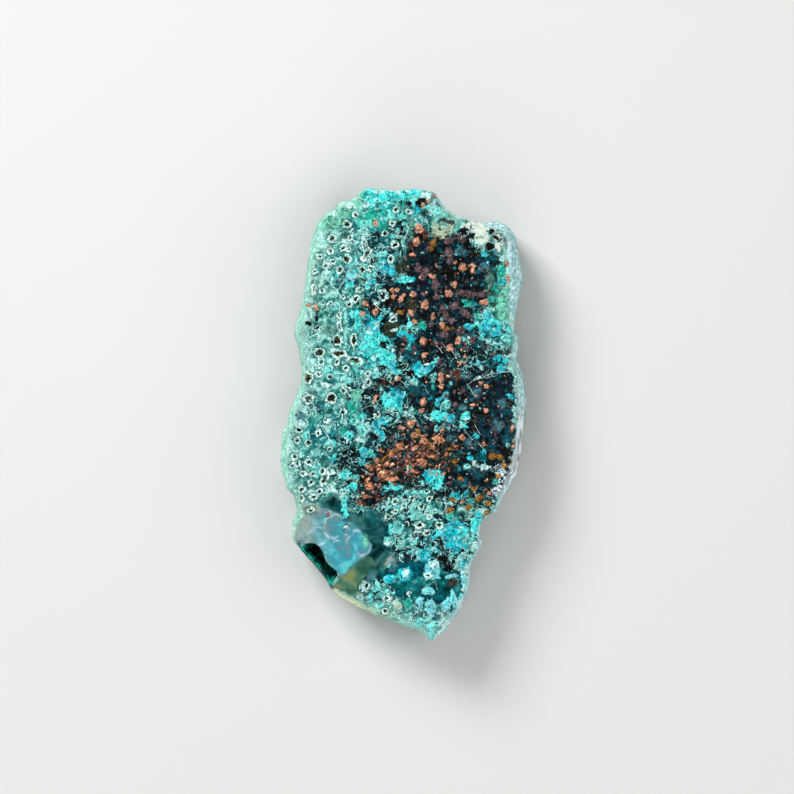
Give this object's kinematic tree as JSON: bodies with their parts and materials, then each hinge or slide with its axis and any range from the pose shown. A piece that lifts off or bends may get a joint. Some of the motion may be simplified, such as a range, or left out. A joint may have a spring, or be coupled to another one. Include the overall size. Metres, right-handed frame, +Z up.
{
  "type": "chrysocolla specimen",
  "caption": "Flat stone of blue-green copper mineral with a cut face, open pits, copper-coloured grains and a pocket at one edge.",
  "frame": {"origin": "middle of the bounding box, on the flat back that the stone lies on", "axes": "+Z up out of the cut face, +Y along the stone from its pointed end to its broad end, +X to the right"},
  "size_m": [0.0494, 0.091, 0.0147],
  "materials": {
    "blue_green_stone": "polished face, rough sides"
  },
  "bodies": {
    "root": {"chrysocolla_stone": "blue_green_stone"}
  },
  "joints": []
}
